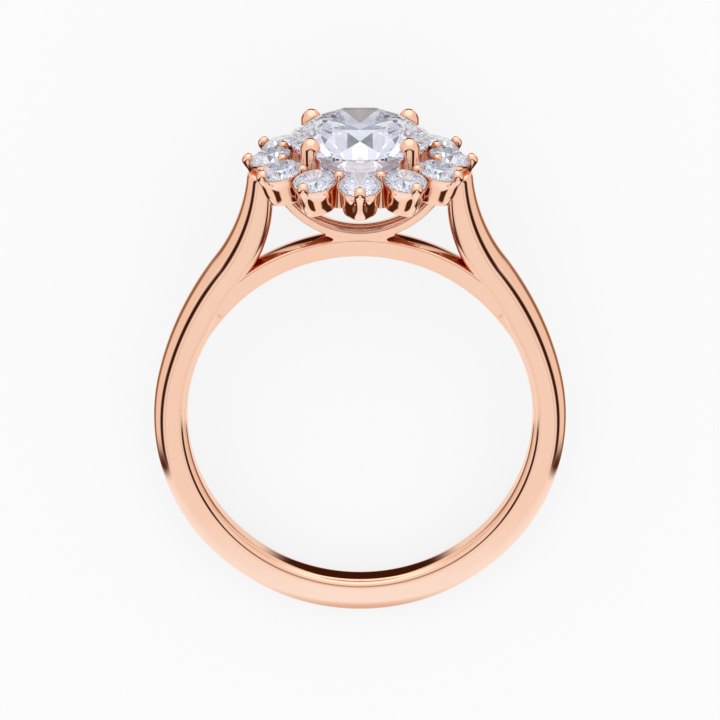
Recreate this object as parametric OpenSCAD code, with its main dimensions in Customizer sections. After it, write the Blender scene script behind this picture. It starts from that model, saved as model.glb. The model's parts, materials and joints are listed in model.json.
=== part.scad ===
// Diamond engagement ring: round halo cluster on a cathedral band.
// The ring is drawn upright first: X across the band, Y along the finger, Z towards the head,
// with the centre of the finger hole at the origin. lay_down() then rests it on its side.

/* [Finger and band] */
// Inner diameter of the finger hole
finger_d = 17; // [16:0.5:18]
// Width of the band along the finger
band_w = 1.7; // [1.6:0.05:1.9]
// Radial thickness of the band
band_t = 1.65; // [1.5:0.05:1.8]
// Rounding of the band's outer edges
outer_edge_r = 0.4; // [0.3:0.05:0.5]
// Comfort rounding of the band's inner edges
inner_edge_r = 0.3; // [0.2:0.05:0.35]

/* [Shoulders] */
// Angle above the finger hole's centre where the shoulder leaves the round band
shoulder_start = 13; // [8:1:18]
// Lean that is left where the shoulder meets the halo
shoulder_top_lean = 5.5; // [4.5:0.5:6.5]
// Radius of the shoulder's lower, swelling curve
swell_r = 15.75; // [15:0.25:16.5]
// Radius of the shoulder's upper, hollow curve
hollow_r = 8.35; // [8:0.05:8.6]
// Loss of thickness from the bridge to the top of the shoulder
shoulder_thinning = 0.67; // [0.4:0.01:0.7]

/* [Bridge and saddle] */
// Radial thickness of the bridge that closes the finger hole under the head
bridge_t = 0.87; // [0.8:0.01:0.95]
// Width of the bridge along the finger
bridge_w = 1.62; // [1.5:0.02:1.66]
// Outer radius of the saddle, the strap that carries the halo
saddle_r = 4.65; // [4.6:0.01:4.7]
// Thickness of the saddle
saddle_t = 0.41; // [0.35:0.01:0.5]

/* [Stones] */
// Diameter of the centre diamond
centre_d = 6.9; // [6.8:0.05:6.95]
// Height of the centre diamond's girdle above the top of the finger hole
centre_rise = 5.74; // [5.7:0.02:5.9]
// Diameter of each halo diamond
halo_d = 2.05; // [2:0.01:2.06]
// Distance from the head's axis to the middle of each halo diamond
halo_pitch_r = 4.37; // [4.36:0.01:4.4]
// Height of the halo diamonds' girdles above the top of the finger hole
halo_rise = 4.83; // [4.8:0.01:4.88]
// Angle by which each halo diamond and its cup lean outwards
halo_lean = 15; // [13:1:16]
// Gap left round each stone
seat_gap = 0.03; // [0.02:0.005:0.04]

/* [Prongs] */
// Diameter of the four large prongs
main_prong_d = 0.92; // [0.88:0.01:1]
// Diameter of their domed tips
main_tip_d = 1.04; // [1:0.01:1.1]
// Distance from the head's axis to each large prong
main_prong_r = 3.35; // [3.32:0.01:3.4]
// Diameter of the outer prongs' beads
outer_bead_d = 0.5; // [0.46:0.01:0.54]
// Diameter of the inner beads, each shared by two halo diamonds
inner_bead_d = 0.52; // [0.48:0.01:0.56]

/* [Hidden] */
HALO_COUNT = 12;
halo_names = [for (i = [1 : HALO_COUNT]) str("halo_diamond_", i < 10 ? "0" : "", i)];

ROSE_GOLD = [0.93, 0.68, 0.57];
DIAMOND = [0.87, 0.9, 0.97];
$fn = 96;

finger_r = finger_d / 2;
outer_r = finger_r + band_t;
half_w = band_w / 2;
halo_z = finger_r + halo_rise;
centre_z = finger_r + centre_rise;
// Metal left inside the finger hole until the bore is cut
bore_stock = 0.17;
raw_t = band_t + bore_stock;
corner_steps = 5;

// Steepest lean of the shoulder, at which its end comes out under a halo stone's outer edge
shoulder_top_x = halo_pitch_r + 1.11;
shoulder_lean = acos(
    (shoulder_top_x + hollow_r * cos(shoulder_top_lean) + (swell_r - outer_r) * cos(shoulder_start))
        / (swell_r + hollow_r)
);
// The loss of thickness grows with this power of the way up the shoulder
thinning_power = 2.25;

// Runs of the band's outer curve, from its lowest point to the top of one shoulder:
// [radius, turn in degrees, sections]
OUTER_RUNS = [
    [outer_r, 90 + shoulder_start, 17],
    [swell_r, shoulder_lean - shoulder_start, 5],
    [hollow_r, shoulder_top_lean - shoulder_lean, 9],
];

// Rounding of the shoulders' upper ends
cap_r = 0.3;
cap_turn = 75;
cap_steps = 3;
least_edge_r = 0.05;

bore_flare_steps = 5;
bore_run_out = 4;

bridge_r = finger_r + bridge_t;
bridge_edge_r = 0.2;
saddle_w = bridge_w - 0.02;
saddle_edge_r = 0.12;
saddle_sink = 0.04;
saddle_z = bridge_r - saddle_sink + saddle_r;
saddle_reach = 68;
web_w = bridge_w - 0.04;
web_half_x = 1.25;
web_low = finger_r + 0.4;

// Heights and radii of a round brilliant cut, in parts of its diameter
TABLE = 0.57;
CROWN = 0.138;
GIRDLE = 0.026;
PAVILION = 0.43;
STAR_LENGTH = 0.52;
LOWER_LENGTH = 0.77;

// A little less than half way to the next cup, so that the posts alone join the cups
cup_rim_r = halo_d / 2 + 0.09;
// Heights of a cup below its stone's girdle, along the leaning axis
cup_top = -0.01;
cup_foot = -1.5;
cup_bore_r = 0.45;
// Outer wall of a cup: [radius lost from the rim, part of the way down]
CUP_WALL = [[0, 0], [0.03, 0.07], [0.14, 0.18], [0.21, 0.32], [0.225, 0.78], [0.26, 0.92], [0.34, 1]];

dome_steps = 5;
// Outer prongs stand beside their cups and lean with them
outer_prong_r = halo_d / 2 + 0.01;
outer_prong_foot = -1.18;
outer_bead_rise = 0.255;
outer_prong_foot_d = 0.5;
outer_prong_neck_d = 0.42;
inner_post_r = halo_pitch_r - 0.52;
inner_post_foot_d = 0.64;
inner_post_neck_d = 0.48;
inner_bead_z = halo_z + 0.24;
post_foot_z = halo_z - 1.33;
main_tip_z = centre_z + 0.28;
main_foot_z = halo_z - 1.38;
// Solder round the foot of each large prong fills the narrow corners between prong, post and cups
corner_r = halo_pitch_r - 0.75;
corner_d = 1.02;
corner_rise = 1.42;

CORNERS = 4;
// Places round the head of the two halo diamonds that stand over the shoulders' ends
SHOULDER_PLACES = [HALO_COUNT / 4, 3 * HALO_COUNT / 4];

// Tilt at which the band's back edge and the back halo bead touch one flat surface
edge_centre = [half_w - outer_edge_r, -(outer_r - outer_edge_r)];
bead_centre = [
    halo_pitch_r + outer_prong_r * cos(halo_lean) + outer_bead_rise * sin(halo_lean),
    halo_z - outer_prong_r * sin(halo_lean) + outer_bead_rise * cos(halo_lean)
];
touch_span = bead_centre - edge_centre;
lie_tilt = atan2(touch_span[0], touch_span[1])
    - asin((outer_edge_r - outer_bead_d / 2) / norm(touch_span));

function radial(angle, r) = r * [cos(angle), sin(angle)];

// Quarter circle of points round a corner centre
function corner(centre, r, start) =
    [for (i = [0 : corner_steps]) centre + radial(start + 90 * i / corner_steps, r)];

// Rectangle from x0 to x1 and from -half to half, with its two ends rounded by r0 and r1
function rounded_strip(x0, x1, half, r0, r1) = concat(
    corner([x1 - r1, half - r1], r1, 0),
    corner([x0 + r0, half - r0], r0, 90),
    corner([x0 + r0, r0 - half], r0, 180),
    corner([x1 - r1, r1 - half], r1, 270)
);

// Where a run of the outer curve ends, for a curve that turns from one heading to the next
function run_step(r, heading, turn) =
    sign(turn) * r * [sin(heading + turn) - sin(heading), cos(heading) - cos(heading + turn)];

// Sections along the outer curve: [x, z, heading, share of the last run]
function run_sections(runs, k = 0, at = [0, -outer_r], heading = 0) =
    k == len(runs) ? [] :
    let (
        r = runs[k][0],
        turn = runs[k][1],
        steps = runs[k][2],
        last = k == len(runs) - 1,
        here = [for (i = [1 : steps])
            let (part = i / steps, p = at + run_step(r, heading, turn * part))
            [p[0], p[1], heading + turn * part, last ? part : 0]]
    )
    concat(here, run_sections(runs, k + 1, at + run_step(r, heading, turn), heading + turn));

right_half = run_sections(OUTER_RUNS);
left_half = [for (i = [len(right_half) - 1 : -1 : 0])
    let (s = right_half[i]) [-s[0], s[1], -s[2], s[3]]];
band_path = concat(left_half, [[0, -outer_r, 0, 0]], right_half);

// Outline of the band at one section, as points in space. A section past the shoulder's top is
// drawn in by inset and pushed on by rise, which rounds the end off.
function band_section(s, inset = 0, rise = 0) =
    let (
        t = raw_t - shoulder_thinning * pow(s[3], thinning_power),
        outward = [sin(s[2]), -cos(s[2])],
        along = [cos(s[2]), sin(s[2])],
        edge = [for (r = [inner_edge_r, outer_edge_r]) max(r - inset, least_edge_r)]
    )
    [for (p = rounded_strip(inset - t, -inset, half_w - inset, edge[0], edge[1]))
        let (q = [s[0], s[1]] + outward * p[0] + along * rise) [q[0], p[1], q[1]]];

// Sections that round off one end of the band, from the last full section outwards
function cap_sections(s, way) =
    [for (i = [1 : cap_steps])
        let (a = cap_turn * i / cap_steps)
        band_section(s, cap_r * (1 - cos(a)), way * cap_r * sin(a))];

// Closed skin over rings of points that all have the same length
module skin(rings) {
    n = len(rings[0]);
    last = len(rings) - 1;
    sides = [for (i = [0 : last - 1], j = [0 : n - 1])
        let (a = i * n + j, b = i * n + (j + 1) % n)
        each [[a, b + n, b], [a, a + n, b + n]]];
    ends = [[for (j = [0 : n - 1]) j], [for (j = [n - 1 : -1 : 0]) last * n + j]];
    polyhedron(points = [for (ring = rings) each ring], faces = concat(sides, ends));
}

// Turns a solid of revolution about Z so that its axis is the finger's
module about_finger() {
    rotate([90, 0, 0]) children();
}

module lay_down() {
    rotate([lie_tilt - 90, 0, 0]) children();
}

module band() {
    left_cap = cap_sections(band_path[0], -1);
    skin(concat(
        [for (i = [cap_steps - 1 : -1 : 0]) left_cap[i]],
        [for (s = band_path) band_section(s)],
        cap_sections(band_path[len(band_path) - 1], 1)
    ));
}

module bridge() {
    about_finger()
        rotate_extrude()
            polygon(rounded_strip(finger_r - bore_stock / 2, bridge_r, bridge_w / 2,
                bridge_edge_r, bridge_edge_r));
}

module saddle() {
    translate([0, 0, saddle_z])
        about_finger()
            rotate([0, 0, -90 - saddle_reach])
                rotate_extrude(angle = 2 * saddle_reach)
                    polygon(rounded_strip(saddle_r - saddle_t, saddle_r, saddle_w / 2,
                        saddle_edge_r, saddle_edge_r));
}

// Solder that fills the narrow wedges where the saddle lies on the bridge
module solder_web() {
    web_top = saddle_z - sqrt(pow(saddle_r - saddle_t / 2, 2) - pow(web_half_x, 2));
    about_finger()
        translate([0, 0, -web_w / 2])
            linear_extrude(web_w)
                polygon([
                    [-web_half_x, web_low],
                    [web_half_x, web_low],
                    [web_half_x, web_top],
                    [0, saddle_z - saddle_r + saddle_t / 2],
                    [-web_half_x, web_top],
                ]);
}

// Cutter for the finger hole: a true bore that flares into the rounded inner edges
module finger_bore() {
    flat = half_w - inner_edge_r;
    steps = bore_flare_steps;
    flare = [for (i = [0 : steps])
        let (a = 90 * i / steps)
        [finger_r + inner_edge_r * (1 - cos(a)), flat + inner_edge_r * sin(a)]];
    run_out = flare[steps] + bore_run_out * (flare[steps] - flare[steps - 1]);
    side = concat(flare, [run_out, [run_out[0], band_w], [0, band_w]]);
    about_finger()
        rotate_extrude()
            polygon(concat(side, [for (i = [len(side) - 1 : -1 : 0]) [side[i][0], -side[i][1]]]));
}

// Corner where a stone's star, kite and upper facets meet: [radius, height above the girdle]
function star_corner(d) =
    let (
        r = d / 2,
        flat_r = TABLE * r * cos(22.5),
        star_r = flat_r + STAR_LENGTH * (r - flat_r)
    )
    [star_r, CROWN * d * (r - star_r * cos(22.5)) / (r - TABLE * r)];

// Round cutter that leaves seat_gap round a stone of diameter d, with its girdle at z = 0
module seat(d) {
    g = GIRDLE * d / 2;
    rotate_extrude()
        polygon([
            [0, -g - PAVILION * d - 2 * seat_gap],
            [d / 2 + seat_gap, -g - seat_gap / 2],
            [d / 2 + seat_gap, g + seat_gap / 2],
            star_corner(d) + [seat_gap, g + seat_gap],
            [TABLE * d / 2 + seat_gap, g + CROWN * d + seat_gap],
            [0, g + CROWN * d + seat_gap],
        ]);
}

// Rod from its foot at z = 0 to the middle of its domed tip at z = rise
module prong(foot_d, neck_d, tip_d, rise) {
    tip_r = tip_d / 2;
    start = -acos(neck_d / tip_d);
    dome = [for (i = [0 : dome_steps])
        let (a = start + (90 - start) * i / dome_steps)
        [tip_r * cos(a), rise + tip_r * sin(a)]];
    rotate_extrude()
        polygon(concat([[0, 0], [foot_d / 2, 0]], dome));
}

module round_head(place) {
    rotate([0, 0, 360 * place / HALO_COUNT - 90]) children();
}

// Carries what is drawn on the Z axis, with a stone's girdle at z = 0, to its place in the halo,
// where it leans outwards
module in_halo(place) {
    round_head(place)
        translate([halo_pitch_r, 0, halo_z])
            rotate([0, halo_lean, 0])
                children();
}

module cup() {
    fall = cup_top - cup_foot;
    wall = [for (p = CUP_WALL) [cup_rim_r - p[0], cup_top - fall * p[1]]];
    rotate_extrude()
        polygon(concat(wall, [[cup_bore_r, cup_foot], [cup_bore_r, cup_top]]));
}

// Prong on the outside of a cup
module outer_prong() {
    translate([outer_prong_r, 0, outer_prong_foot])
        prong(outer_prong_foot_d, outer_prong_neck_d, outer_bead_d, outer_bead_rise - outer_prong_foot);
}

// Upright post between two cups, whose bead holds both their stones
module inner_post() {
    translate([inner_post_r, 0, post_foot_z])
        prong(inner_post_foot_d, inner_post_neck_d, inner_bead_d, inner_bead_z - post_foot_z);
}

module main_prong() {
    translate([main_prong_r, 0, main_foot_z])
        prong(main_prong_d, main_prong_d, main_tip_d, main_tip_z - main_foot_z);
    translate([corner_r, 0, post_foot_z])
        cylinder(d = corner_d, h = corner_rise);
}

module halo() {
    for (i = [0 : HALO_COUNT - 1]) {
        in_halo(i) {
            cup();
            outer_prong();
        }
        round_head(i + 0.5) inner_post();
    }
}

// Band, bridge and saddle, with the finger hole bored through them and room left for the two
// stones over the shoulders' ends
module shank() {
    difference() {
        union() {
            band();
            bridge();
            solder_web();
            saddle();
        }
        finger_bore();
        for (place = SHOULDER_PLACES) in_halo(place) seat(halo_d);
    }
}

// Cups and prongs, with every stone's seat cut out of them
module head() {
    difference() {
        union() {
            halo();
            for (i = [0 : CORNERS - 1]) round_head(HALO_COUNT * (i + 0.5) / CORNERS) main_prong();
        }
        for (i = [0 : HALO_COUNT - 1]) in_halo(i) seat(halo_d);
        translate([0, 0, centre_z]) seat(centre_d);
    }
}

module mounting() {
    color(ROSE_GOLD)
        lay_down() {
            shank();
            head();
        }
}

// Round brilliant cut stone of diameter d, girdle at z = 0: a table, 8 star, 8 kite and 16 upper
// facets, then 16 lower and 8 main facets down to a point
module brilliant(d, girdle_steps) {
    r = d / 2;
    g = GIRDLE * r;
    table_r = TABLE * r;
    crown = CROWN * d;
    depth = PAVILION * d;
    star_r = star_corner(d)[0];
    star_z = star_corner(d)[1];
    low_r = r * (1 - LOWER_LENGTH);
    low_z = depth * (1 - low_r * cos(22.5) / r);
    // Height of the girdle's scalloped edge, where a flat facet through a vertex at (in_r, in_z)
    // and two girdle points 22.5 degrees apart meets the round girdle
    function scallop(in_r, in_z, a) =
        in_z * (r * cos(11.25) - r * cos(a - 11.25)) / (r * cos(11.25) - in_r * cos(11.25));
    ring = [for (k = [0 : 15], j = [0 : girdle_steps - 1]) [k, 22.5 * j / girdle_steps]];
    points = concat(
        [for (k = [0 : 7]) concat(radial(45 * k, table_r), g + crown)],
        [for (k = [0 : 7]) concat(radial(45 * k + 22.5, star_r), g + star_z)],
        [for (p = ring) concat(radial(22.5 * p[0] + p[1], r), g + scallop(star_r, star_z, p[1]))],
        [for (p = ring) concat(radial(22.5 * p[0] + p[1], r), -g - scallop(low_r, low_z, p[1]))],
        [for (k = [0 : 7]) concat(radial(45 * k + 22.5, low_r), -g - low_z)],
        [[0, 0, -g - depth]]
    );
    hull() polyhedron(points, [[for (i = [0 : len(points) - 1]) i]]);
}

module centre_diamond() {
    color(DIAMOND)
        lay_down()
            translate([0, 0, centre_z]) rotate([0, 0, 22.5]) brilliant(centre_d, 3);
}

module halo_diamond(i) {
    color(DIAMOND)
        lay_down()
            in_halo(i) brilliant(halo_d, 2);
}

mounting();
centre_diamond();
for (i = [0 : HALO_COUNT - 1])
    halo_diamond(i);
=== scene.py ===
import json
import math

import bmesh
import bpy
from mathutils import Matrix, Vector


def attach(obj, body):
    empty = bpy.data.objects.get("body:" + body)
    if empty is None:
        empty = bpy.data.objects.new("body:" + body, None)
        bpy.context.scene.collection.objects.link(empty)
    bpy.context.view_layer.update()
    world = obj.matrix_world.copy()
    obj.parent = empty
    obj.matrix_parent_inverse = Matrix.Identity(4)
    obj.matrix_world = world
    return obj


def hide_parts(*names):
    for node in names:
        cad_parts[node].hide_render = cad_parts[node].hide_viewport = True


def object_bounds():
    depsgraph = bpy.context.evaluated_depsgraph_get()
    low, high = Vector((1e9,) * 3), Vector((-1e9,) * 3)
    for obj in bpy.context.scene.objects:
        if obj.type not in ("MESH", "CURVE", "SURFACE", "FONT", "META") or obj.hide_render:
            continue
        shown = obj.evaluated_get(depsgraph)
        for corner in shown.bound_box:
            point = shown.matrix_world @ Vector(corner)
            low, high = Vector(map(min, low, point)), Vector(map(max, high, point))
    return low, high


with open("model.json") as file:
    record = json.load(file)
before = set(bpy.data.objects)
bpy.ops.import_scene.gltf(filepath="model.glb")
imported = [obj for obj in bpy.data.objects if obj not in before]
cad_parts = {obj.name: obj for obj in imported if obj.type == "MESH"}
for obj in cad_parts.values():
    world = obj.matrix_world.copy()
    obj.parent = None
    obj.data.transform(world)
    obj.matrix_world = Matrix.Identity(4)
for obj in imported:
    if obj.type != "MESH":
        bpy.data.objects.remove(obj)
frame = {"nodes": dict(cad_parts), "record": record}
cad_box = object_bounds()

# Sizes of the upright ring in millimetres: X across the band, Y along the finger, Z towards the head,
# with the centre of the finger hole at the origin
MM = 0.001
finger_hole = frame["record"]["mounts"][0]
FINGER_R = finger_hole["dims"]["r_mm"]
LIE_TILT = math.atan2(-finger_hole["axis"][1], finger_hole["axis"][2])
TO_FRAME = Matrix.Scale(MM, 4) @ Matrix.Rotation(LIE_TILT - math.pi / 2, 4, "X")
ALONG_FINGER = (0, -1, 0)
CAMERA_RISE = math.radians(19.8)

BAND_T = 1.65
BAND_W = 1.7
OUTER_R = FINGER_R + BAND_T
OUTER_EDGE_R = 0.57
SHOULDER_FOOT_EDGE_R = 0.66
SHOULDER_EDGE_R = 0.83
INNER_EDGE_R = 0.42
PLAIN_TURN = math.radians(80)
SHOULDER_START = math.radians(13)
SHOULDER_LEAN = math.radians(37)
SHOULDER_TOP_LEAN = math.radians(5.5)
SWELL_R = 15.75
HOLLOW_R = 8.35
SHOULDER_T = 1.82
SHOULDER_THINNING = 0.67
THINNING_POWER = 2.25

BRIDGE_T = 0.87
BRIDGE_W = 1.62
BRIDGE_EDGE_R = 0.1
BRIDGE_CROWN = 0.16
BRIDGE_SUNK = 0.003
BRIDGE_R = FINGER_R + BRIDGE_T
BRIDGE_REACH = math.radians(65)
BRIDGE_MERGE = math.radians(15)
SADDLE_R = 4.65
SADDLE_T = 0.41
SADDLE_W = 1.6
SADDLE_EDGE_R = 0.09
SADDLE_CROWN = -0.14
SADDLE_Z = BRIDGE_R - 0.04 + SADDLE_R
SADDLE_REACH = math.radians(68)

HALO_COUNT = 12
HALO_D = 2.05
HALO_PITCH_R = 4.37
HALO_Z = FINGER_R + 4.83
HALO_LEAN = math.radians(15)
CENTRE_D = 6.9
CENTRE_Z = FINGER_R + 5.74
SEAT_GAP = 0.03
TABLE, CROWN, GIRDLE, PAVILION, STAR_LENGTH = 0.57, 0.138, 0.026, 0.43, 0.52

CUP_RIM_R = HALO_D / 2 + 0.085
CUP_BORE_R = 0.45
CUP_FOOT = -1.5
POST_R = HALO_PITCH_R - 0.52
POST_FOOT_Z = HALO_Z - 1.33
POST_TIP_Z = HALO_Z + 0.29
PRONG_R = 3.35
PRONG_FOOT_Z = HALO_Z - 1.38
PRONG_TIP_Z = CENTRE_Z + 0.3

MERGE_DIST = 1e-4
CORNER_SEGMENTS = 10
EDGE_SPACING = 0.07
LATHE_STEPS = 56
SEAT_STEPS = 96


def verts_of(geom):
    return [part for part in geom if isinstance(part, bmesh.types.BMVert)]


def edges_of(geom):
    return [part for part in geom if isinstance(part, bmesh.types.BMEdge)]


def closed_mesh(bm, name, material):
    """Merges, orients and places a finished shape, and makes it a piece of the ring."""
    bmesh.ops.remove_doubles(bm, verts=bm.verts, dist=MERGE_DIST)
    bmesh.ops.recalc_face_normals(bm, faces=bm.faces)
    bmesh.ops.transform(bm, matrix=TO_FRAME, verts=bm.verts)
    for face in bm.faces:
        face.smooth = True
    mesh = bpy.data.meshes.new(name)
    bm.to_mesh(mesh)
    bm.free()
    mesh.set_sharp_from_angle(angle=math.radians(40))
    mesh.materials.append(material)
    piece = bpy.data.objects.new(name, mesh)
    bpy.context.scene.collection.objects.link(piece)
    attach(piece, "root")
    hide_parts("mounting")
    piece.visible_transmission = False


def strip_section(bm, x_in, x_out, half_w, r_in, r_out, softening):
    """Closed outline of a strip of metal across its width, as wire edges at z = 0. Its inner and outer
    edges are rounded by r_in and r_out, and smoothed as many times as softening says."""
    corners = bmesh.ops.create_grid(bm, x_segments=1, y_segments=1, size=0.5)["verts"]
    middle = (x_in + x_out) / 2
    bmesh.ops.scale(bm, vec=(x_out - x_in, 2 * half_w, 1), verts=corners)
    bmesh.ops.translate(bm, vec=(middle, 0, 0), verts=corners)
    for rounding, outer in ((r_in, False), (r_out, True)):
        ends = [v for v in bm.verts if (v.co.x > middle) == outer]
        bmesh.ops.bevel(bm, geom=ends, offset=rounding, offset_type="OFFSET", segments=CORNER_SEGMENTS,
                        profile=0.5, affect="VERTICES", material=-1)
    bmesh.ops.delete(bm, geom=bm.faces[:], context="FACES_ONLY")
    for edge in bm.edges[:]:
        cuts = int(edge.calc_length() / EDGE_SPACING)
        if cuts:
            bmesh.ops.subdivide_edges(bm, edges=[edge], cuts=cuts)
    for _ in range(softening):
        bmesh.ops.smooth_vert(bm, verts=bm.verts, factor=0.5, use_axis_x=True, use_axis_y=True,
                              use_axis_z=True)
    return bm.verts[:] + bm.edges[:]


def sweep(bm, ring, centre, turn, steps):
    """Carries a ring of edges round a centre in the plane across the finger."""
    swept = bmesh.ops.spin(bm, geom=ring, cent=(centre[0], 0, centre[1]), axis=ALONG_FINGER, dvec=(0, 0, 0),
                           angle=turn, steps=steps, use_merge=False, use_normal_flip=False,
                           use_duplicate=False)
    return swept["geom_last"]


def outward(heading):
    """Direction in the plane across the finger, as (x, z), at an angle from straight down."""
    return Vector((math.sin(heading), -math.cos(heading)))


def set_thickness(bm, ring, outer_point, heading, factor):
    """Changes the depth of a ring of edges, measured from the band's outer line."""
    out = outward(heading)
    to_line = Matrix(((out.x, 0, out.y, 0), (0, 1, 0, 0), (-out.y, 0, out.x, 0), (0, 0, 0, 1)))
    to_line = to_line @ Matrix.Translation((-outer_point.x, 0, -outer_point.y))
    bmesh.ops.scale(bm, vec=(factor, 1, 1), space=to_line, verts=verts_of(ring))


def swell_thickness(turned):
    """Thickness of the lower shoulder, whose inside follows the finger hole until it can leave it."""
    off = SWELL_R - OUTER_R
    inner = off * math.cos(turned) + math.sqrt(FINGER_R ** 2 - (off * math.sin(turned)) ** 2)
    return min(SHOULDER_T, SWELL_R - inner)


def round_edge(verts, outer_point, heading, thickness, rounding):
    """Gives the outer edges of one section of the band a larger rounding."""
    out = outward(heading)
    half = BAND_W / 2
    deep = OUTER_EDGE_R * thickness / BAND_T
    for vert in verts:
        depth = (outer_point - Vector((vert.co.x, vert.co.z))).dot(out)
        side = abs(vert.co.y)
        new_depth = depth
        if depth >= deep:
            new_depth = rounding + (depth - deep) * (thickness - rounding) / (thickness - deep)
        elif side > half - OUTER_EDGE_R:
            new_depth = depth * rounding / deep
            vert.co.y = math.copysign(half - (half - side) * rounding / OUTER_EDGE_R, vert.co.y)
        else:
            vert.co.y *= (half - rounding) / (half - OUTER_EDGE_R)
        vert.co.x += out.x * (depth - new_depth)
        vert.co.z += out.y * (depth - new_depth)


def band(material):
    """The band and its two shoulders, swept up from the lowest point and mirrored."""
    bm = bmesh.new()
    ring = strip_section(bm, FINGER_R, OUTER_R, BAND_W / 2, INNER_EDGE_R, OUTER_EDGE_R, softening=3)
    bmesh.ops.rotate(bm, cent=(0, 0, 0), matrix=Matrix.Rotation(math.pi / 2, 3, "Y"), verts=bm.verts)
    heading = PLAIN_TURN
    ring = sweep(bm, ring, (0, 0), heading, steps=80)
    point = OUTER_R * outward(heading)
    thickness = BAND_T
    hollow = SHOULDER_LEAN - SHOULDER_TOP_LEAN
    # Each run: radius, angle, steps, thickness at an angle, and outer rounding at its start and end
    runs = (
        (OUTER_R, math.pi / 2 + SHOULDER_START - heading, 22, lambda turned: BAND_T,
         OUTER_EDGE_R, SHOULDER_FOOT_EDGE_R),
        (SWELL_R, SHOULDER_LEAN - SHOULDER_START, 28, swell_thickness,
         SHOULDER_FOOT_EDGE_R, SHOULDER_EDGE_R),
        (-HOLLOW_R, hollow, 24,
         lambda turned: SHOULDER_T - SHOULDER_THINNING * (turned / hollow) ** THINNING_POWER,
         SHOULDER_EDGE_R, OUTER_EDGE_R),
    )
    sections = []
    for radius, total, steps, thickness_at, edge_from, edge_to in runs:
        centre = point - radius * outward(heading)
        turn = math.copysign(total / steps, radius)
        for step in range(1, steps + 1):
            ring = sweep(bm, ring, centre, turn, 1)
            heading += turn
            point = centre + radius * outward(heading)
            wanted = thickness_at(total * step / steps)
            set_thickness(bm, ring, point, heading, wanted / thickness)
            thickness = wanted
            rounding = edge_from + (edge_to - edge_from) * step / steps
            sections.append((verts_of(ring), point, heading, thickness, rounding))
    for section in sections:
        round_edge(*section)
    rim = edges_of(ring)
    along = Vector((math.cos(heading), 0, math.sin(heading)))
    rounded_end = ((0.12, 0.93), (0.1, 0.82), (0.05, 0.6))
    for push, narrow in rounded_end:
        cap = bmesh.ops.extrude_edge_only(bm, edges=rim)["geom"]
        rim = edges_of(cap)
        tip = verts_of(cap)
        middle = sum((v.co for v in tip), Vector()) / len(tip)
        bmesh.ops.scale(bm, vec=(narrow,) * 3, space=Matrix.Translation(-middle), verts=tip)
        bmesh.ops.translate(bm, vec=push * along, verts=tip)
    bmesh.ops.holes_fill(bm, edges=rim, sides=0)
    bmesh.ops.mirror(bm, geom=bm.verts[:] + bm.edges[:] + bm.faces[:], axis="X", merge_dist=MERGE_DIST)
    closed_mesh(bm, "band", material)


def strap(name, material, radius, thickness, width, edge_r, crown, centre_z, start, reach, merge=0):
    """A strap bent round the finger's direction, with closed ends. One of its sides is domed: the outer
    one where crown is above 0, the inner one where it is below. The ends of a strap whose middle is at
    the top narrow over the angle merge, so that they run out inside the band."""
    bm = bmesh.new()
    strip_section(bm, radius - thickness, radius, width / 2, edge_r, edge_r, softening=2)
    for vert in bm.verts:
        if (vert.co.x > radius - thickness / 2) == (crown > 0):
            vert.co.x += crown * (1 - (2 * vert.co.y / width) ** 2)
    bmesh.ops.rotate(bm, cent=(0, 0, 0), matrix=Matrix.Rotation(start + reach, 3, "Y"), verts=bm.verts)
    bmesh.ops.holes_fill(bm, edges=bm.edges, sides=0)
    ring = sweep(bm, bm.edges[:] + bm.verts[:], (0, 0), 2 * reach, steps=96)
    bmesh.ops.holes_fill(bm, edges=edges_of(ring), sides=0)
    for vert in bm.verts:
        past = abs(math.atan2(vert.co.x, vert.co.z)) - (reach - merge)
        if merge and past > 0:
            share = min(1, past / merge)
            vert.co.y *= 1 - 0.5 * share ** 2 * (3 - 2 * share)
    bmesh.ops.translate(bm, vec=(0, 0, centre_z), verts=bm.verts)
    closed_mesh(bm, name, material)


def lathe(bm, corners, steps=LATHE_STEPS, segments=7, spacing=None):
    """Turns a closed outline of (radius, height, rounding) corners about the Z axis. Lines longer than
    the spacing are divided, so that the shape can be bent afterwards."""
    outline = [bm.verts.new((r, 0, z)) for r, z, _ in corners]
    bm.faces.new(outline)
    for vert, (_, _, rounding) in zip(outline, corners):
        if rounding:
            bmesh.ops.bevel(bm, geom=[vert], offset=rounding, offset_type="OFFSET",
                            segments=segments, profile=0.5, affect="VERTICES", material=-1)
    bmesh.ops.delete(bm, geom=bm.faces[:], context="FACES_ONLY")
    on_axis = [e for e in bm.edges if all(abs(v.co.x) < 1e-6 for v in e.verts)]
    bmesh.ops.delete(bm, geom=on_axis, context="EDGES")
    if spacing:
        for edge in bm.edges[:]:
            cuts = int(edge.calc_length() / spacing)
            if cuts:
                bmesh.ops.subdivide_edges(bm, edges=[edge], cuts=cuts)
    bmesh.ops.spin(bm, geom=bm.verts[:] + bm.edges[:], cent=(0, 0, 0), axis=(0, 0, 1), dvec=(0, 0, 0),
                   angle=2 * math.pi, steps=steps, use_merge=True, use_normal_flip=False,
                   use_duplicate=False)
    bmesh.ops.remove_doubles(bm, verts=bm.verts, dist=MERGE_DIST)
    bmesh.ops.recalc_face_normals(bm, faces=bm.faces)


def star_corner(d):
    """Radius and height above the girdle of the corners where a stone's star facets end."""
    r = d / 2
    flat_r = TABLE * r * math.cos(math.pi / 8)
    star_r = flat_r + STAR_LENGTH * (r - flat_r)
    return star_r, CROWN * d * (r - star_r * math.cos(math.pi / 8)) / (r - TABLE * r)


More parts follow.
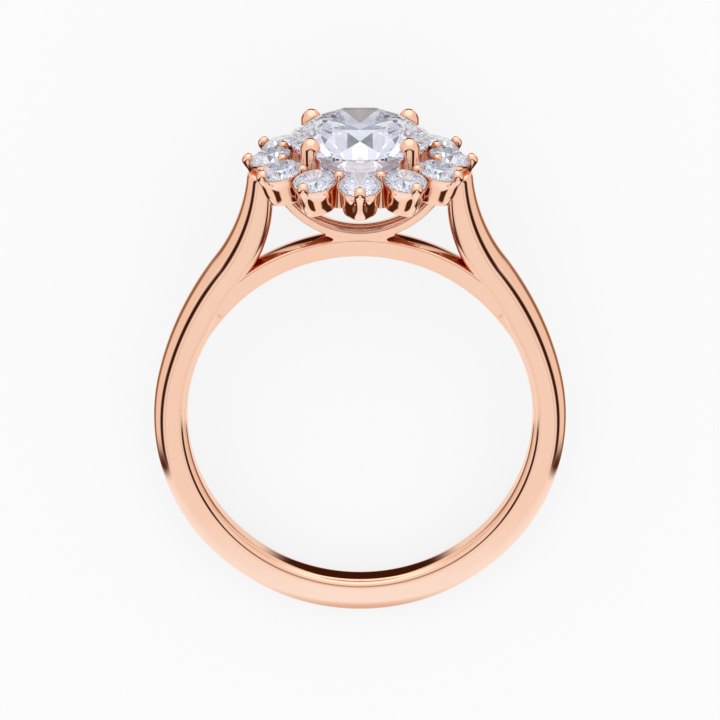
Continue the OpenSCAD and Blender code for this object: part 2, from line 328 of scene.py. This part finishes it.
def seat(bm, d, place):
    """Adds to bm a cutter for the room that a stone needs, carried there by the matrix place."""
    g = GIRDLE * d / 2
    star_r, star_z = star_corner(d)
    cutter = bmesh.new()
    lathe(cutter, [
        (0, -g - PAVILION * d - 2 * SEAT_GAP, 0),
        (d / 2 + SEAT_GAP, -g - SEAT_GAP / 2, 0),
        (d / 2 + SEAT_GAP, g + SEAT_GAP / 2, 0),
        (star_r + SEAT_GAP, g + star_z + SEAT_GAP, 0),
        (TABLE * d / 2 + SEAT_GAP, g + CROWN * d + SEAT_GAP, 0),
        (0, g + CROWN * d + SEAT_GAP, 0),
    ], steps=SEAT_STEPS)
    bmesh.ops.transform(cutter, matrix=place, verts=cutter.verts)
    mesh = bpy.data.meshes.new("cutter")
    cutter.to_mesh(mesh)
    cutter.free()
    bm.from_mesh(mesh)
    bpy.data.meshes.remove(mesh)


def halo_place(place):
    """Matrix that carries a shape drawn on the Z axis, with a stone's girdle at z = 0, into the halo, where
    it leans outwards. Place 0 is at the front."""
    return (Matrix.Rotation(2 * math.pi * place / HALO_COUNT - math.pi / 2, 4, "Z")
            @ Matrix.Translation((HALO_PITCH_R, 0, HALO_Z)) @ Matrix.Rotation(HALO_LEAN, 4, "Y"))


def carve(bm, cutter):
    """Takes the cutter's shapes out of bm."""
    scene = bpy.context.scene
    made = []
    for shape, name in ((bm, "blank"), (cutter, "tool")):
        mesh = bpy.data.meshes.new(name)
        shape.to_mesh(mesh)
        shape.free()
        made.append(bpy.data.objects.new(name, mesh))
        scene.collection.objects.link(made[-1])
    blank, tool = made
    cut = blank.modifiers.new("cut", "BOOLEAN")
    cut.operation = "DIFFERENCE"
    cut.solver = "EXACT"
    cut.object = tool
    carved = bmesh.new()
    evaluated = blank.evaluated_get(bpy.context.evaluated_depsgraph_get())
    carved.from_mesh(evaluated.to_mesh())
    evaluated.to_mesh_clear()
    for obj in made:
        mesh = obj.data
        bpy.data.objects.remove(obj)
        bpy.data.meshes.remove(mesh)
    return carved


def round_the_head(bm, count):
    """Repeats a shape round the head's axis."""
    bmesh.ops.spin(bm, geom=bm.verts[:] + bm.edges[:] + bm.faces[:], cent=(0, 0, 0), axis=(0, 0, 1),
                   dvec=(0, 0, 0), angle=2 * math.pi * (count - 1) / count, steps=count - 1,
                   use_merge=False, use_normal_flip=False, use_duplicate=True)


def halo_cups(material):
    """The cups that the halo stones sit in, each flared to a thin rim and rounded below, with a ridge
    outside where its prong runs down into it."""
    ridge_h = 0.12
    ridge_half_w = 0.21
    ridge_from_r = 0.62
    ridge_full_r = 0.78
    seat_margin = 0.035
    bm = bmesh.new()
    g = GIRDLE * HALO_D / 2
    seat_r = HALO_D / 2 + SEAT_GAP
    seat_drop = PAVILION * HALO_D * (1 - CUP_BORE_R / (HALO_D / 2)) + g + SEAT_GAP
    lathe(bm, [
        (CUP_BORE_R, CUP_FOOT, 0.04),
        (CUP_RIM_R - 0.31, CUP_FOOT, 0.1),
        (CUP_RIM_R - 0.24, CUP_FOOT + 0.3, 0.2),
        (CUP_RIM_R - 0.21, -0.5, 0.2),
        (CUP_RIM_R - 0.04, -0.14, 0.08),
        (CUP_RIM_R, -0.01, 0.02),
        (seat_r, -0.01, 0.012),
        (seat_r, -g - SEAT_GAP / 2, 0),
        (CUP_BORE_R, -seat_drop, 0.03),
    ], steps=120, segments=5, spacing=0.15)
    for vert in bm.verts:
        across = math.hypot(vert.co.x, vert.co.y)
        seat_wall = CUP_BORE_R + (vert.co.z + seat_drop) * (seat_r - CUP_BORE_R) / (seat_drop - g)
        if across > max(ridge_from_r, min(seat_r, seat_wall) + seat_margin) and vert.co.x > 0:
            down = vert.co.z / CUP_FOOT
            swell = ridge_h * (1 + math.sin(math.pi * min(1, 1.15 * down)))
            spread = ridge_half_w + 0.14 * down
            fade = min(1, (across - ridge_from_r) / (ridge_full_r - ridge_from_r))
            vert.co.x += swell * fade * math.exp(-(vert.co.y / spread) ** 4)
    bmesh.ops.transform(bm, matrix=halo_place(0), verts=bm.verts)
    round_the_head(bm, HALO_COUNT)
    closed_mesh(bm, "halo_cups", material)


def bullet(bm, foot, foot_r, waist_r, tip_r, tip, dome=0.9):
    """Rod on the Z axis from z = foot to a domed tip whose widest part is at z = tip, with a waist
    between them. The dome is as high as dome times its radius."""
    rise = tip - foot
    lathe(bm, [
        (0, foot, 0),
        (foot_r, foot, 0.3 * foot_r),
        (waist_r, foot + 0.55 * rise, 0.3 * rise),
        (tip_r, tip - 0.25 * tip_r, 0.3 * tip_r),
        (tip_r, tip + dome * tip_r, 0.97 * dome * tip_r),
        (0, tip + dome * tip_r, 0),
    ])
    for vert in bm.verts:
        if vert.co.z > tip:
            narrow = 1 - 0.16 * (vert.co.z - tip) / (dome * tip_r)
            vert.co.x *= narrow
            vert.co.y *= narrow


def outer_prongs(material):
    """The prongs on the outside of the cups, each broad at its foot and bent over its stone's edge."""
    lean = 0.22
    bend_from_z = -0.05
    bend = 0.62
    bm = bmesh.new()
    bullet(bm, foot=-0.8, foot_r=0.12, waist_r=0.22, tip_r=0.29, tip=0.21)
    for vert in bm.verts:
        vert.co.x += lean * vert.co.z - bend * max(0, vert.co.z - bend_from_z) ** 2
    bmesh.ops.translate(bm, vec=(HALO_D / 2 + 0.03, 0, 0), verts=bm.verts)
    bmesh.ops.transform(bm, matrix=halo_place(0), verts=bm.verts)
    cutter = bmesh.new()
    seat(cutter, HALO_D, halo_place(0))
    bm = carve(bm, cutter)
    round_the_head(bm, HALO_COUNT)
    closed_mesh(bm, "outer_prongs", material)


def inner_posts(material):
    """The posts between the cups, whose beads each hold two stones."""
    bm = bmesh.new()
    bullet(bm, POST_FOOT_Z, foot_r=0.3, waist_r=0.24, tip_r=0.26, tip=POST_TIP_Z, dome=0.8)
    bmesh.ops.translate(bm, vec=(POST_R, 0, 0), verts=bm.verts)
    between = Matrix.Rotation(math.pi / HALO_COUNT - math.pi / 2, 3, "Z")
    bmesh.ops.rotate(bm, cent=(0, 0, 0), matrix=between, verts=bm.verts)
    cutter = bmesh.new()
    seat(cutter, HALO_D, halo_place(0))
    seat(cutter, HALO_D, halo_place(1))
    bm = carve(bm, cutter)
    round_the_head(bm, HALO_COUNT)
    closed_mesh(bm, "inner_posts", material)


def main_prongs(material):
    """The four large prongs that hold the centre stone."""
    bm = bmesh.new()
    bullet(bm, PRONG_FOOT_Z, foot_r=0.5, waist_r=0.47, tip_r=0.51, tip=PRONG_TIP_Z, dome=1.0)
    bmesh.ops.translate(bm, vec=(PRONG_R, 0, 0), verts=bm.verts)
    bmesh.ops.rotate(bm, cent=(0, 0, 0), matrix=Matrix.Rotation(-math.pi / 4, 3, "Z"), verts=bm.verts)
    cutter = bmesh.new()
    seat(cutter, CENTRE_D, Matrix.Translation((0, 0, CENTRE_Z)))
    seat(cutter, HALO_D, halo_place(1))
    seat(cutter, HALO_D, halo_place(2))
    bm = carve(bm, cutter)
    round_the_head(bm, 4)
    closed_mesh(bm, "main_prongs", material)


def solder_web(material):
    """Solder that runs into the narrow wedges where the saddle lies on the bridge. Its ends are hollow
    from its full reach to its waist."""
    reach = 1.68
    waist = 1.29
    waist_z = BRIDGE_R + 0.01
    half_hollow = 0.21
    low = FINGER_R + 0.4
    roof_r = SADDLE_R - SADDLE_T / 2
    inset = 0.02
    bm = bmesh.new()
    grid = bmesh.ops.create_grid(bm, x_segments=16, y_segments=24, size=0.5)["verts"]
    bmesh.ops.rotate(bm, cent=(0, 0, 0), matrix=Matrix.Rotation(math.pi / 2, 3, "X"), verts=grid)
    bmesh.ops.translate(bm, vec=(0, 0, 0.5), verts=grid)
    for vert in grid:
        roof = SADDLE_Z - math.sqrt(roof_r ** 2 - (2 * vert.co.x * reach) ** 2)
        vert.co.z = low + (roof - low) * vert.co.z
        away = min(1, abs(vert.co.z - waist_z) / half_hollow)
        vert.co.x *= 2 * (waist + (reach - waist) * away ** 1.7)
        vert.co.y = -BRIDGE_W / 2 + inset
    slab = bmesh.ops.extrude_face_region(bm, geom=bm.faces[:])["geom"]
    bmesh.ops.translate(bm, vec=(0, BRIDGE_W - 2 * inset, 0), verts=verts_of(slab))
    closed_mesh(bm, "solder_web", material)


class Wire:
    """An output socket that takes part in arithmetic."""

    def __init__(self, bench, socket):
        self.bench = bench
        self.socket = socket

    def _math(self, operation, *values):
        return self.bench.node("ShaderNodeMath", {"operation": operation}, dict(enumerate(values)))

    def __add__(self, other):
        return self._math("ADD", self, other)

    def __radd__(self, other):
        return self._math("ADD", other, self)

    def __sub__(self, other):
        return self._math("SUBTRACT", self, other)

    def __rsub__(self, other):
        return self._math("SUBTRACT", other, self)

    def __mul__(self, other):
        return self._math("MULTIPLY", self, other)

    def __rmul__(self, other):
        return self._math("MULTIPLY", other, self)


class Bench:
    """A node tree to build on: any node comes from node()."""

    def __init__(self, tree):
        self.tree = tree
        tree.nodes.clear()

    def node(self, kind, settings=None, sockets=None, out=0):
        made = self.tree.nodes.new(kind)
        for name, value in (settings or {}).items():
            if name == "stops":
                ramp = made.color_ramp.elements
                while len(ramp) < len(value):
                    ramp.new(1)
                for element, (position, colour) in zip(ramp, value):
                    element.position = position
                    element.color = colour
            else:
                setattr(made, name, value)
        for name, value in (sockets or {}).items():
            if isinstance(value, Wire):
                self.tree.links.new(value.socket, made.inputs[name])
            else:
                made.inputs[name].default_value = value
        return Wire(self, made.outputs[out]) if made.outputs else made

    def span(self, value, low, high, to_low=0.0, to_high=1.0):
        """Smooth step of a value from low to high."""
        return self.node("ShaderNodeMapRange", {"interpolation_type": "SMOOTHSTEP"},
                         {"Value": value, "From Min": low, "From Max": high, "To Min": to_low,
                          "To Max": to_high})

    def mix(self, share, a, b):
        """Colour a where share is 0 and colour b where it is 1."""
        return self.node("ShaderNodeMix", {"data_type": "RGBA"}, {0: share, 6: a, 7: b}, out=2)


def new_material(name):
    material = bpy.data.materials.new(name)
    material.use_nodes = True
    return material, Bench(material.node_tree)


def rose_gold():
    """Polished rose gold: faint polishing marks in the gloss, and painted shade in narrow places, where the
    base colour darkens to a deep orange-brown, standing in for light that goes from wall to wall many times."""
    material, bench = new_material("rose_gold_polished")
    place = bench.node("ShaderNodeTexCoord", out=3)
    haze = bench.node("ShaderNodeTexNoise", {}, {"Vector": place, "Scale": 900.0, "Detail": 3.0})
    wear = bench.node("ShaderNodeTexNoise", {}, {"Vector": place, "Scale": 260.0, "Detail": 2.0})
    # deep is the colour of the painted crevice shade; bright and worn are the gold's own tone, which varies
    # at random
    bright, worn, deep = (0.935, 0.61, 0.465, 1), (0.925, 0.595, 0.45, 1), (0.6, 0.16, 0.03, 1)
    colour = bench.mix(bench.span(wear, 0.35, 0.65), bright, worn)
    # Painted shade: an ambient occlusion mask turns the colour deep orange-brown in crevices and between
    # parts
    painted_shade_openness = bench.node("ShaderNodeAmbientOcclusion", {"samples": 8}, {"Distance": 2.4 * MM}, out=1)
    colour = bench.mix(bench.span(painted_shade_openness, 0.1, 0.82), deep, colour)
    bump = bench.node("ShaderNodeBump", {}, {"Strength": 0.02, "Distance": 0.00002, "Height": haze})
    shader = bench.node("ShaderNodeBsdfPrincipled", {}, {
        "Base Color": colour, "Metallic": 1.0, "Roughness": 0.05 + 0.04 * haze, "Normal": bump})
    bench.node("ShaderNodeOutputMaterial", {}, {"Surface": shader})
    return material


def diamond(name, tint):
    """Clear stone with the light-bending power of diamond."""
    material, bench = new_material(name)
    shader = bench.node("ShaderNodeBsdfPrincipled", {}, {
        "Base Color": tint, "Roughness": 0.0, "IOR": 2.42, "Transmission Weight": 1.0})
    bench.node("ShaderNodeOutputMaterial", {}, {"Surface": shader})
    return material


def stage_piece(bm, name, material):
    """Makes a finished shape a part of the surroundings."""
    mesh = bpy.data.meshes.new(name)
    bm.to_mesh(mesh)
    bm.free()
    mesh.materials.append(material)
    piece = bpy.data.objects.new(name, mesh)
    bpy.context.scene.collection.objects.link(piece)
    piece.visible_transmission = False
    return piece


def table_top():
    """The plain pale floor that the ring lies on, lit from within so that shadows stay faint."""
    material, bench = new_material("pale_floor")
    shader = bench.node("ShaderNodeBsdfPrincipled", {}, {
        "Base Color": (0.15, 0.15, 0.15, 1), "Roughness": 0.9, "Specular IOR Level": 0.0,
        "Emission Color": (0.82, 0.82, 0.82, 1), "Emission Strength": 1.0})
    bench.node("ShaderNodeOutputMaterial", {}, {"Surface": shader})
    bm = bmesh.new()
    bmesh.ops.create_grid(bm, x_segments=1, y_segments=1, size=2.0)
    bmesh.ops.translate(bm, vec=(0, 0, cad_box[0].z), verts=bm.verts)
    floor = stage_piece(bm, "floor", material)
    floor.visible_glossy = False


def studio():
    """Soft surroundings: plain and pale to the camera and the floor, with pale and dark panels that the
    metal and the stones reflect."""
    world = bpy.data.worlds.new("studio")
    bpy.context.scene.world = world
    world.use_nodes = True
    bench = Bench(world.node_tree)
    towards = bench.node("ShaderNodeTexCoord", out=0)

    def part(axis):
        return bench.node("ShaderNodeVectorMath", {"operation": "DOT_PRODUCT"}, {0: towards, 1: axis}, out=1)

    ahead = Vector((0, -math.sin(LIE_TILT), math.cos(LIE_TILT)))
    headwards = Vector((0, math.cos(LIE_TILT), math.sin(LIE_TILT)))
    front = part(ahead)
    up = part(headwards)
    aside = bench.node("ShaderNodeMath", {"operation": "ABSOLUTE"}, {0: part((1, 0, 0))})
    azimuth = bench.node("ShaderNodeMath", {"operation": "ARCTAN2"}, {0: aside, 1: front})
    height = bench.node("ShaderNodeMath", {"operation": "ARCSINE"}, {0: up})
    mirrored = part(math.cos(CAMERA_RISE) * ahead - math.sin(CAMERA_RISE) * headwards)
    off = bench.node("ShaderNodeMath", {"operation": "ARCCOSINE"}, {0: mirrored})

    def panel(value, low, high, soft):
        """Share of a panel that reaches from low to high degrees with soft edges."""
        low, high, soft = (math.radians(x) for x in (low, high, soft))
        rise = bench.span(value, low - soft, low + soft)
        return rise * bench.span(value, high - soft, high + soft, 1.0, 0.0)

    metal = bench.mix(panel(height, -100, -35, 6), (0.99, 0.995, 0.985, 1), (1.02, 0.96, 0.9, 1))
    # Each panel's place and tone, where a later panel covers the ones before it
    for share, tone in (
        (panel(azimuth, 56, 400, 8), (0.95, 0.87, 0.8, 1)),
        (panel(height, 52, 100, 9), (1.4, 1.45, 1.4, 1)),
        (panel(off, 9, 14, 2) * panel(height, -32, -10, 5) * 0.4, (0.6, 0.45, 0.34, 1)),
        (panel(azimuth, 112, 152, 7) * panel(height, -34, 16, 7), (0.33, 0.18, 0.1, 1)),
        (panel(azimuth, 158, 400, 4) * panel(height, 11, 45, 4), (0.05, 0.012, 0.004, 1)),
        (panel(azimuth, 36, 152, 8) * panel(height, -95, -28, 5), (0.09, 0.024, 0.008, 1)),
        (panel(off, 31, 44, 5) * panel(height, 5, 60, 5), (0.5, 0.3, 0.19, 1)),
        (panel(off, 26, 53, 5) * panel(height, -31, 8, 5), (0.055, 0.013, 0.004, 1)),
    ):
        metal = bench.mix(share, metal, tone)
    way = bench.node("ShaderNodeCombineXYZ", {}, {"X": aside, "Y": front, "Z": up})

    def patches(scale, shift):
        """Patches of even tone, from 0 to 1, all round the stones."""
        cells = bench.node("ShaderNodeTexVoronoi", {"voronoi_dimensions": "4D"},
                           {"Vector": way, "Scale": scale, "W": shift}, out=1)
        return bench.node("ShaderNodeSeparateColor", {}, {"Color": cells})

    gem = bench.node("ShaderNodeValToRGB", {"stops": [
        (0.0, (0.02, 0.02, 0.03, 1)), (0.24, (0.22, 0.21, 0.22, 1)), (0.34, (0.45, 0.48, 0.61, 1)),
        (0.6, (0.65, 0.68, 0.84, 1)), (0.84, (0.84, 0.86, 0.96, 1)), (1.0, (1.25, 1.25, 1.28, 1))]},
        {"Fac": patches(1.8, 0.5) + 0.5 * (patches(8.0, 2.0) - 0.5)})
    gem = bench.mix(panel(height, -100, -68, 5), gem, (0.6, 0.55, 0.53, 1))
    ray = bench.node("ShaderNodeLightPath")

    def seen_by(name):
        return Wire(bench, ray.socket.node.outputs[name])

    colour = bench.mix(seen_by("Transmission Depth"), metal, gem)
    colour = bench.mix(seen_by("Is Diffuse Ray"), colour, (1.0, 1.0, 1.0, 1))
    colour = bench.mix(seen_by("Is Camera Ray"), colour, (0.95, 0.95, 0.95, 1))
    light = bench.node("ShaderNodeBackground", {}, {"Color": colour, "Strength": 1.0})
    bench.node("ShaderNodeOutputWorld", {}, {"Surface": light})


def reflector():
    """A round pale glowing card by the ring's lowest point, which only the metal's reflections see, with a
    painted shadow at its middle.
    """
    card_half_x, card_half_y = 0.02, 0.025
    drop = 0.1
    material, bench = new_material("reflector_card")
    middle = tuple(TO_FRAME @ Vector((0, 0, -OUTER_R)))
    place = bench.node("ShaderNodeTexCoord", out=3)
    flat = bench.node("ShaderNodeVectorMath", {"operation": "SUBTRACT"}, {0: place, 1: middle})

    def away(half_x, half_y):
        """Distance from the middle, where 1 is on the ellipse with these half axes."""
        shrunk = bench.node("ShaderNodeVectorMath", {"operation": "MULTIPLY"},
                            {0: flat, 1: (1 / half_x, 0, 1 / half_y)})
        return bench.node("ShaderNodeVectorMath", {"operation": "LENGTH"}, {0: shrunk}, out=1)

    colour = bench.mix(bench.span(away(0.045, 0.016), 0.15, 1.0), (1.04, 1.18, 1.27, 1), (1.0, 0.99, 0.97, 1))
    # Painted shadow: a small darker tan spot at the card's middle stands in for the ring's contact shadow on
    # a table top
    colour = bench.mix(bench.span(away(0.006, 0.002), 0.2, 1.1), (0.8, 0.62, 0.5, 1), colour)
    glow = bench.node("ShaderNodeEmission", {}, {"Color": colour, "Strength": 1.0})
    clear = bench.node("ShaderNodeBsdfTransparent")
    shader = bench.node("ShaderNodeMixShader", {},
                        {0: bench.span(away(card_half_x, card_half_y), 0.9, 1.06), 1: glow, 2: clear})
    bench.node("ShaderNodeOutputMaterial", {}, {"Surface": shader})
    bm = bmesh.new()
    bmesh.ops.create_circle(bm, cap_ends=True, segments=96, radius=1.1)
    bmesh.ops.scale(bm, vec=(card_half_x / MM, card_half_y / MM, 1), verts=bm.verts)
    bmesh.ops.translate(bm, vec=(0, 0, -OUTER_R - drop), verts=bm.verts)
    bmesh.ops.transform(bm, matrix=TO_FRAME, verts=bm.verts)
    card = stage_piece(bm, "reflector", material)
    card.visible_camera = False
    card.visible_diffuse = False
    card.visible_shadow = False


def photo_camera():
    """The camera at the photograph's angle to the ring."""
    distance = 270
    aim = Vector((0, 0, 2.888))
    focal_px = 5498.7
    image_px = 720
    back = Vector((0, -math.cos(CAMERA_RISE), math.sin(CAMERA_RISE)))
    up = Vector((0, math.sin(CAMERA_RISE), math.cos(CAMERA_RISE)))
    turn = Matrix.Rotation(LIE_TILT - math.pi / 2, 3, "X")
    axes = Matrix((turn @ Vector((1, 0, 0)), turn @ up, turn @ back)).transposed()
    data = bpy.data.cameras.new("camera")
    data.sensor_width = 36
    data.lens = focal_px / image_px * data.sensor_width
    data.clip_start = 0.01
    data.clip_end = 10
    camera = bpy.data.objects.new("camera", data)
    bpy.context.scene.collection.objects.link(camera)
    camera.matrix_world = Matrix.Translation(TO_FRAME @ (aim + distance * back)) @ axes.to_4x4()
    bpy.context.scene.camera = camera


scene = bpy.context.scene
scene.view_settings.view_transform = "Standard"
scene.cycles.max_bounces = 80
scene.cycles.glossy_bounces = 80
scene.cycles.transmission_bounces = 80
scene.cycles.caustics_reflective = False
scene.cycles.caustics_refractive = False

photo_camera()
studio()
table_top()
reflector()

gold = rose_gold()
band(gold)
strap("bridge", gold, BRIDGE_R, BRIDGE_T - BRIDGE_SUNK, BRIDGE_W, BRIDGE_EDGE_R, BRIDGE_CROWN,
      centre_z=0, start=-math.pi / 2, reach=BRIDGE_REACH, merge=BRIDGE_MERGE)
strap("saddle", gold, SADDLE_R, SADDLE_T, SADDLE_W, SADDLE_EDGE_R, SADDLE_CROWN,
      centre_z=SADDLE_Z, start=math.pi / 2, reach=SADDLE_REACH)
solder_web(gold)
halo_cups(gold)
outer_prongs(gold)
inner_posts(gold)
main_prongs(gold)

centre_clear = diamond("centre_diamond_clear", (0.97, 0.975, 1.0, 1))
halo_clear = diamond("halo_diamond_clear", (0.9, 0.905, 0.92, 1))
for node, obj in frame["nodes"].items():
    if node != "mounting":
        obj.data.materials.clear()
        obj.data.materials.append(centre_clear if node == "centre_diamond" else halo_clear)
